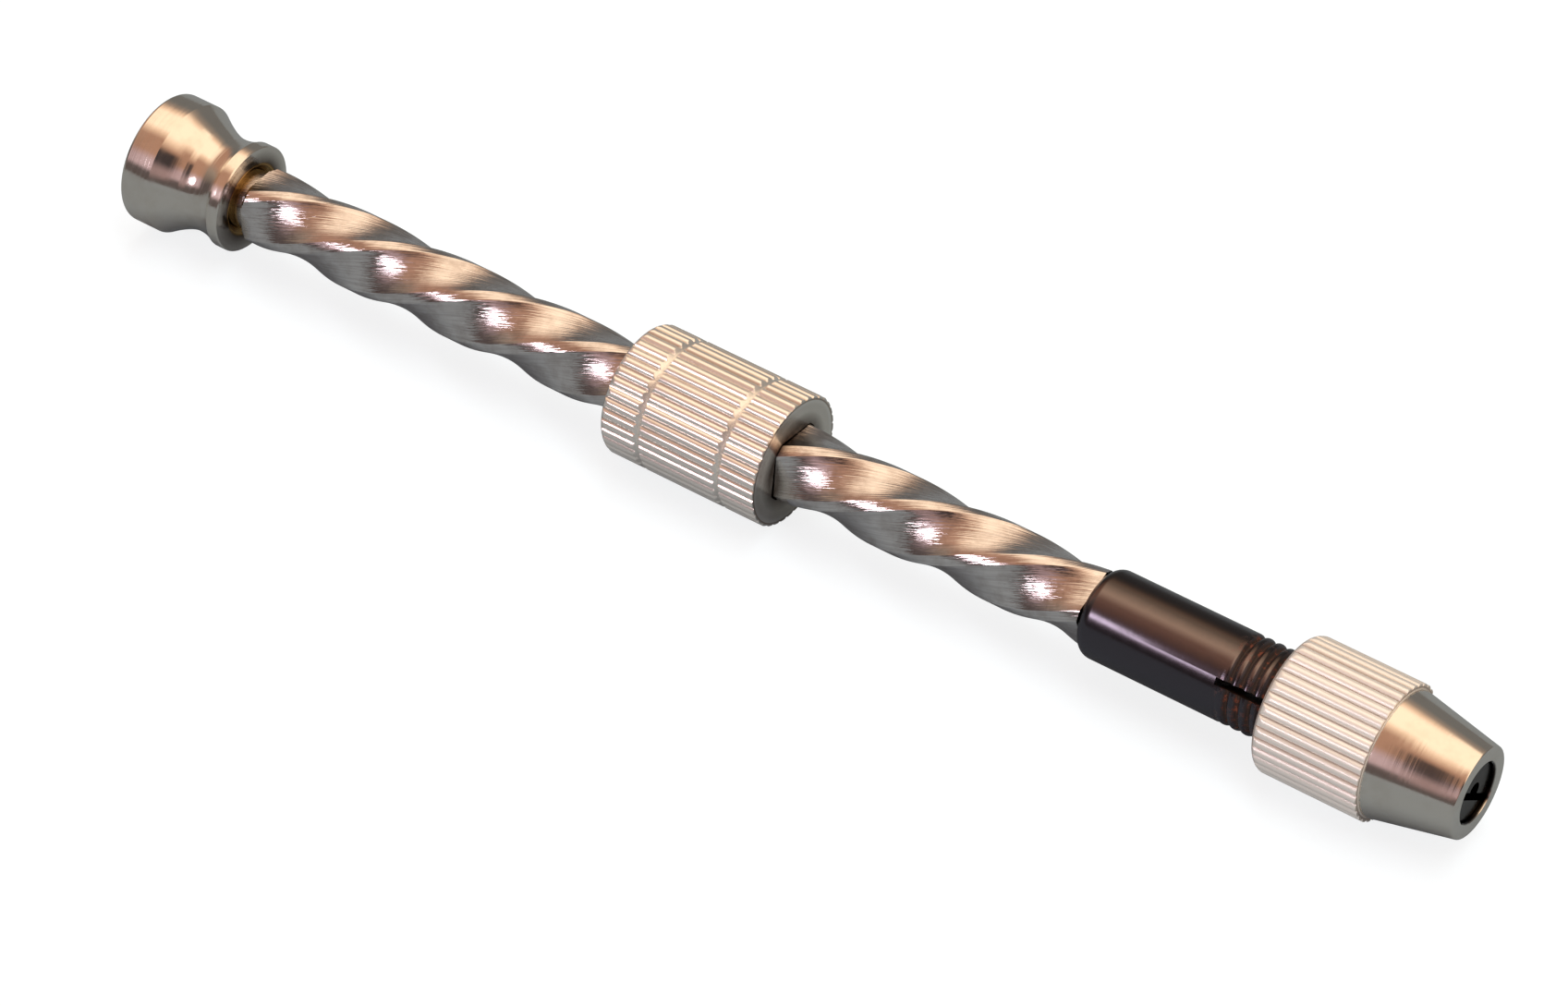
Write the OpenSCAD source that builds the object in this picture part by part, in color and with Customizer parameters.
// Archimedean hand drill with a left-hand twisted square spindle.
// Every piece is drawn along the drill's own axis, where z is the distance
// from the palm knob's outer face, and is then laid level on its side.

/* [Palm knob] */
// Diameter of the knob's outer band
knob_d = 9.14; // [8:0.02:11]
// Length of the knob from its outer face to its flange face
knob_l = 7.5; // [7:0.1:9]
// Length of the straight outer band
knob_band_l = 2.2; // [1.8:0.05:2.6]
// Diameter at the waist
knob_waist_d = 6.74; // [6.4:0.02:7.2]
// Distance from the outer face to the waist
knob_waist_at = 5.05; // [4.8:0.05:5.3]
// Diameter of the flange round the mouth
knob_flange_d = 7.54; // [7.3:0.02:8]
// Thickness of the flange's straight rim
knob_rim_l = 0.8; // [0.5:0.05:1]
// Rounding of the outer edge
knob_edge = 0.25; // [0.1:0.05:0.4]

/* [Knob bearing] */
// Thickness of the brass bush's wall
bush_wall = 0.49; // [0.4:0.01:0.55]
// Length of the brass bush
bush_l = 3.2; // [2.6:0.1:3.3]
// Width of the bush's mouth chamfer
bush_chamfer = 0.34; // [0.1:0.02:0.4]
// Diameter of the spindle's journal
journal_d = 4.12; // [3.9:0.02:4.14]
// Thickness of the retaining ring
ring_t = 0.45; // [0.3:0.05:0.5]
// Height of the retaining ring above the journal
ring_step = 0.44; // [0.35:0.01:0.46]
// Depth of the journal's groove for the ring
groove_depth = 0.4; // [0.3:0.05:0.5]
// Diameter of the thrust ball
ball_d = 1.6; // [1.4:0.1:1.6]
// Radial clearance of the running fits
run_fit = 0.05; // [0.03:0.01:0.08]

/* [Spindle] */
// Diameter over the narrow lands of the twisted bar
spiral_d = 5.18; // [4.8:0.02:5.4]
// Width across the flats of the twisted bar
spiral_flats = 4.18; // [4.14:0.02:4.4]
// Length of the twisted bar
spiral_l = 66.1; // [56:0.5:80]
// Advance along the bar for one full turn of its twist
spiral_lead = 33.9; // [28:0.1:45]
// Gap from the knob's flange to the start of the twist
collar_gap = 0.8; // [0.5:0.05:1.2]
// Chamfer that starts the twist
spiral_chamfer = 0.25; // [0.15:0.05:0.4]
// Diameter of the spigot inside the chuck body
spigot_d = 3.8; // [3.2:0.1:4]
// Length of the spigot
spigot_l = 7; // [5:0.25:8]

/* [Slide nut] */
// Diameter over the slide nut's ridges
slide_d = 9.1; // [8.4:0.02:9.2]
// Length of the slide nut
slide_l = 12; // [10:0.25:14]
// Distance from the knob's flange to the slide nut
slide_at = 31.85; // [20:0.25:40]
// Clearance round the bar in the slide nut's hole
slide_gap = 0.1; // [0.08:0.01:0.14]
// Number of ridges round each knurled grip
ridges = 36; // [30:1:42]
// Depth of the valleys between ridges
ridge_depth = 0.22; // [0.12:0.01:0.26]
// Distance from each end of the slide nut to its V groove
vee_at = 2.9; // [2:0.05:3.5]
// Width of each V groove
vee_w = 0.56; // [0.4:0.02:0.7]
// Rounding of the ridges at the end beside the knob
slide_edge = 0.45; // [0.2:0.05:0.6]
// Chamfer of the ridges at the end beside the chuck
slide_chamfer = 0.08; // [0.04:0.01:0.2]

/* [Chuck body] */
// Diameter of the chuck body
body_d = 6; // [5.6:0.05:6.2]
// Length of the plain part of the chuck body
body_plain_l = 10.3; // [9:0.1:12]
// Rounding of the chuck body's back edge
body_edge = 0.95; // [0.6:0.05:1]
// Length of thread that shows behind the chuck nut
free_thread_l = 3.55; // [2.5:0.05:5]
// Width of the saw slit between the jaws
slit_w = 0.5; // [0.3:0.05:0.6]
// Distance of the slit's middle from the axis
slit_offset = 0.35; // [0:0.05:0.4]
// Direction of the slit round the axis
slit_turn = 230; // [220:1:240]
// Distance from the end of the plain part back to the slit's root
slit_root = 0.2; // [0:0.05:0.8]
// Diameter of the hole that grips the bit
grip_d = 1.2; // [1:0.1:1.4]
// Length of the hole that grips the bit
grip_l = 14; // [10:0.5:15]

/* [Chuck nut] */
// Diameter over the chuck nut's ridges
cnut_d = 9.24; // [9.24:0.02:9.8]
// Length of the chuck nut's knurled grip
cnut_grip_l = 7.65; // [6.5:0.05:9]
// Length of the chuck nut's cone
cnut_cone_l = 5.85; // [5:0.05:7]
// Diameter of the cone beside the grip
cone_d = 8.5; // [8.2:0.05:8.6]
// Diameter of the nose
nose_d = 6.26; // [5.8:0.02:6.8]
// Rounding of the nose's edge
nose_edge = 0.14; // [0.1:0.02:0.3]
// Rounding of the chuck nut's back edge
cnut_edge = 0.72; // [0.4:0.02:0.9]
// Diameter of the hole in the nose
nose_hole_d = 4.08; // [3.8:0.02:4.3]
// Length of the straight hole in the nose
nose_lip = 0.6; // [0.4:0.05:1]
// Distance of the jaws' tips behind the nose
jaw_recess = 0.3; // [0.15:0.05:0.5]
// Clearance between the jaws and the chuck nut's inner cone
jaw_gap = 0.1; // [0.06:0.01:0.15]

/* [Hidden] */
$fn = 96;

nickel = [0.80, 0.74, 0.66];
dark_steel = [0.42, 0.38, 0.37];
black_oxide = [0.15, 0.13, 0.14];
brass = [0.72, 0.53, 0.22];
bright_steel = [0.72, 0.73, 0.75];

overlap = 1;
run_out = 0.02;

// Shares that shape the knob's hollow from its band to its waist, and on to its rim
hollow_ease = 0.635;
flare_ease = 0.55;
rim_chamfer = 0.08;

// The thrust ball's seats and the ring behind the bush
ball_gap = 0.03;
seat_angle = 60;
seat_share = 0.3;
seat_tip = 0.06;
ring_gap = 0.08;
ring_mouth = 1.6;
journal_tail = 1.15;

// Places across one ridge as shares of its pitch, each with its depth as a share of a valley's
ridge_steps = [[0, 1], [0.22, 0.26], [0.5, 0], [0.78, 0.26]];

// Small steps and chamfers of the chuck
grip_chamfer = 0.03;
hole_chamfer = 0.12;
thread_mouth = 0.25;
cone_band = 0.25;
inner_cone_back = 0.25;
jaw_step = 0.05;
jaw_step_l = 0.3;

bearing_d = journal_d + 2 * run_fit + 2 * bush_wall;
ring_d = journal_d + 2 * ring_step;
ball_r = ball_d / 2;
seat_plane = seat_share * ball_d;
seat_apex = ball_r / sin(seat_angle) + ball_gap;
bush_back = knob_l - bush_l;
ring_back = bush_back - ring_gap - ring_t;
journal_end = ring_back - journal_tail;
ball_at = journal_end - seat_plane;
bore_end = ball_at - seat_plane;

spiral_start = knob_l + collar_gap;
spiral_end = spiral_start + spiral_l;
slide_start = knob_l + slide_at;
slide_end = slide_start + slide_l;
body_plain_end = spiral_end + body_plain_l;
cnut_start = body_plain_end + free_thread_l;
cnut_grip_end = cnut_start + cnut_grip_l;
nose_end = cnut_grip_end + cnut_cone_l;
jaw_end = nose_end - jaw_recess;
inner_cone_start = cnut_grip_end - inner_cone_back;
inner_cone_end = nose_end - nose_lip;
slit_start = body_plain_end - slit_root;

bar_turn = 36.5;
bar_sides = 4;
bar_corner = 360 / bar_sides;
bar_points = 24;
slice_turn = 5;
slide_ridge_turn = 0.5;
body_r = body_d / 2;
cnut_bore_r = body_r + run_fit;
axis_height = cnut_d / 2 * cos(180 / ridges);

// Points of an arc from angle a to angle b
function arc(x, y, r, a, b, n = 8) =
    [for (i = [0:n]) [x + r * cos(a + (b - a) * i / n), y + r * sin(a + (b - a) * i / n)]];

// Points of a curve from p to q that leaves and arrives along the lines to c
function bend(p, c, q, n = 8) =
    [for (i = [0:n]) let (f = i / n) (1 - f) * (1 - f) * p + 2 * f * (1 - f) * c + f * f * q];

// Section of the bar: a square whose corners are cut back to narrow round lands
function bar_section(across, over, steps = 4) =
    let (land = bar_corner / 2 - acos(across / over), r = over / 2)
    [for (k = [0:bar_sides - 1]) let (a = bar_corner * k, b = a + bar_corner) each concat(
        [for (s = [-1:1]) r * [cos(a + s * land), sin(a + s * land)]],
        [for (i = [1:steps - 1]) let (f = i / steps)
            (1 - f) * r * [cos(a + land), sin(a + land)] + f * r * [cos(b - land), sin(b - land)]])];

// Direction of a land of the bar at a distance z along the drill
function bar_angle(z) = bar_turn - 360 * (z - slide_end) / spiral_lead;

// Outline of a straight knurl, with a valley at the given turn
function knurl_outline(r, turn) =
    [for (k = [0:ridges - 1], step = ridge_steps)
        let (a = turn + 360 * (k + step[0]) / ridges) (r - step[1] * ridge_depth) * [cos(a), sin(a)]];

// A stretch of twisted bar from z, as long as length
module twisted_bar(z, length, across, over) {
    turn = 360 * length / spiral_lead;
    translate([0, 0, z])
        linear_extrude(length, twist = turn, slices = ceil(turn / slice_turn), $fn = bar_points)
            rotate(bar_angle(z))
                polygon(bar_section(across, over));
}

// A straight knurl between z and z_end, cut to the outline that children revolve
module knurled(z, z_end, r, turn) {
    intersection() {
        translate([0, 0, z]) linear_extrude(z_end - z) polygon(knurl_outline(r, turn));
        rotate_extrude() children();
    }
}

// A centre-drilled seat for the thrust ball, whose tip points down or up the drill
module ball_seat(side) {
    mouth_r = seat_apex * tan(seat_angle);
    tip_r = seat_tip * tan(seat_angle);
    translate([0, 0, ball_at]) mirror([0, 0, side == "knob" ? 1 : 0])
        cylinder(h = seat_apex - seat_tip, r1 = mouth_r, r2 = tip_r);
}

module palm_knob() {
    r = knob_d / 2;
    waist_r = knob_waist_d / 2;
    flange_r = knob_flange_d / 2;
    rim_start = knob_l - knob_rim_l;
    hollow_l = knob_waist_at - knob_band_l;
    waist = [waist_r, knob_waist_at];
    color(nickel) difference() {
        rotate_extrude() polygon(concat(
            [[0, 0]],
            arc(r - knob_edge, knob_edge, knob_edge, -90, 0, 5),
            bend([r, knob_band_l], [waist_r, knob_band_l + hollow_ease * hollow_l], waist, 12),
            bend(waist, [waist_r, knob_waist_at + flare_ease * (rim_start - knob_waist_at)],
                [flange_r, rim_start], 6),
            [[flange_r, knob_l - rim_chamfer], [flange_r - rim_chamfer, knob_l], [0, knob_l]]));
        translate([0, 0, bore_end]) cylinder(h = knob_l - bore_end + overlap, d = bearing_d);
        ball_seat("knob");
    }
}

module knob_bush() {
    bore_r = journal_d / 2 + run_fit;
    color(brass) rotate_extrude() polygon([
        [bore_r, bush_back],
        [bearing_d / 2, bush_back],
        [bearing_d / 2, knob_l],
        [bore_r + bush_chamfer, knob_l],
        [bore_r, knob_l - bush_chamfer]]);
}

module thrust_ball() {
    color(bright_steel) translate([0, 0, ball_at]) sphere(d = ball_d);
}

module retaining_ring() {
    color(bright_steel) difference() {
        translate([0, 0, ring_back]) cylinder(h = ring_t, d = ring_d);
        translate([0, 0, ring_back - overlap])
            cylinder(h = ring_t + 2 * overlap, r = journal_d / 2 - groove_depth);
        translate([0, -ring_mouth / 2, ring_back - overlap])
            cube([ring_d, ring_mouth, ring_t + 2 * overlap]);
    }
}

module spiral_spindle() {
    color(dark_steel) difference() {
        union() {
            translate([0, 0, journal_end])
                cylinder(h = spiral_start - journal_end + overlap, d = journal_d);
            twisted_bar(spiral_start, spiral_l, spiral_flats, spiral_d);
            translate([0, 0, spiral_end - overlap]) cylinder(h = spigot_l + overlap, d = spigot_d);
        }
        rotate_extrude() polygon([
            [spiral_d / 2 - spiral_chamfer - run_out, spiral_start - run_out],
            [spiral_d / 2 + overlap, spiral_start - run_out],
            [spiral_d / 2 + overlap, spiral_start + spiral_chamfer + overlap]]);
        difference() {
            translate([0, 0, ring_back]) cylinder(h = ring_t, d = journal_d + overlap);
            translate([0, 0, ring_back - overlap])
                cylinder(h = ring_t + 2 * overlap, r = journal_d / 2 - groove_depth);
        }
        ball_seat("spindle");
    }
}

module slide_nut() {
    r = slide_d / 2;
    near_vee = slide_start + vee_at;
    far_vee = slide_end - vee_at;
    depth = vee_w / 2;
    color(nickel) difference() {
        knurled(slide_start, slide_end, r, slide_ridge_turn)
            polygon(concat(
                [[0, slide_start]],
                arc(r - slide_edge, slide_start + slide_edge, slide_edge, -90, 0, 4),
                [[r, near_vee - vee_w / 2], [r - depth, near_vee], [r, near_vee + vee_w / 2],
                    [r, far_vee - vee_w / 2], [r - depth, far_vee], [r, far_vee + vee_w / 2],
                    [r, slide_end - slide_chamfer], [r - slide_chamfer, slide_end], [0, slide_end]]));
        twisted_bar(slide_start - overlap, slide_l + 2 * overlap,
            spiral_flats + 2 * slide_gap, spiral_d + 2 * slide_gap);
    }
}

module chuck_body() {
    tip_r = nose_hole_d / 2 - jaw_gap;
    color(black_oxide) difference() {
        rotate_extrude() polygon(concat(
            [[0, spiral_end]],
            arc(body_r - body_edge, spiral_end + body_edge, body_edge, -90, 0),
            [[body_r, inner_cone_start - jaw_step_l], [body_r - jaw_step, inner_cone_start],
                [tip_r, inner_cone_end], [tip_r, jaw_end], [0, jaw_end]]));
        translate([0, 0, spiral_end - overlap]) cylinder(h = spigot_l + overlap, d = spigot_d);
        translate([0, 0, jaw_end - grip_l]) cylinder(h = grip_l + overlap, d = grip_d);
        rotate(slit_turn) translate([-body_d, slit_offset - slit_w / 2, slit_start])
            cube([2 * body_d, slit_w, jaw_end - slit_start + overlap]);
    }
}

module chuck_nut() {
    r = cnut_d / 2;
    cone_r = cone_d / 2;
    nose_r = nose_d / 2;
    hole_r = nose_hole_d / 2;
    mouth_r = cnut_bore_r + thread_mouth;
    cone_slope = atan((cone_r - nose_r) / cnut_cone_l);
    color(nickel) difference() {
        union() {
            knurled(cnut_start, cnut_grip_end, r, 0)
                polygon(concat(
                    [[0, cnut_start]],
                    arc(r - cnut_edge, cnut_start + cnut_edge, cnut_edge, -90, 0, 4),
                    [[r, cnut_grip_end - grip_chamfer], [r - grip_chamfer, cnut_grip_end],
                        [0, cnut_grip_end]]));
            rotate_extrude() polygon(concat(
                [[0, cnut_grip_end - overlap], [cone_r, cnut_grip_end - overlap],
                    [cone_r, cnut_grip_end + cone_band]],
                arc(nose_r - nose_edge, nose_end - nose_edge, nose_edge, cone_slope, 90, 4),
                [[0, nose_end]]));
        }
        rotate_extrude() polygon([
            [0, cnut_start - overlap], [mouth_r, cnut_start - overlap],
            [mouth_r, cnut_start], [cnut_bore_r, cnut_start + thread_mouth],
            [cnut_bore_r, inner_cone_start], [hole_r, inner_cone_end],
            [hole_r, nose_end - hole_chamfer], [hole_r + hole_chamfer, nose_end],
            [hole_r + hole_chamfer, nose_end + overlap], [0, nose_end + overlap]]);
    }
}

// Lays the drill's axis along X, at the height at which its largest piece rests
module laid_down() {
    translate([-nose_end / 2, 0, axis_height]) rotate([0, 90, 0]) children();
}

laid_down() palm_knob();
laid_down() knob_bush();
laid_down() thrust_ball();
laid_down() retaining_ring();
laid_down() spiral_spindle();
laid_down() slide_nut();
laid_down() chuck_body();
laid_down() chuck_nut();
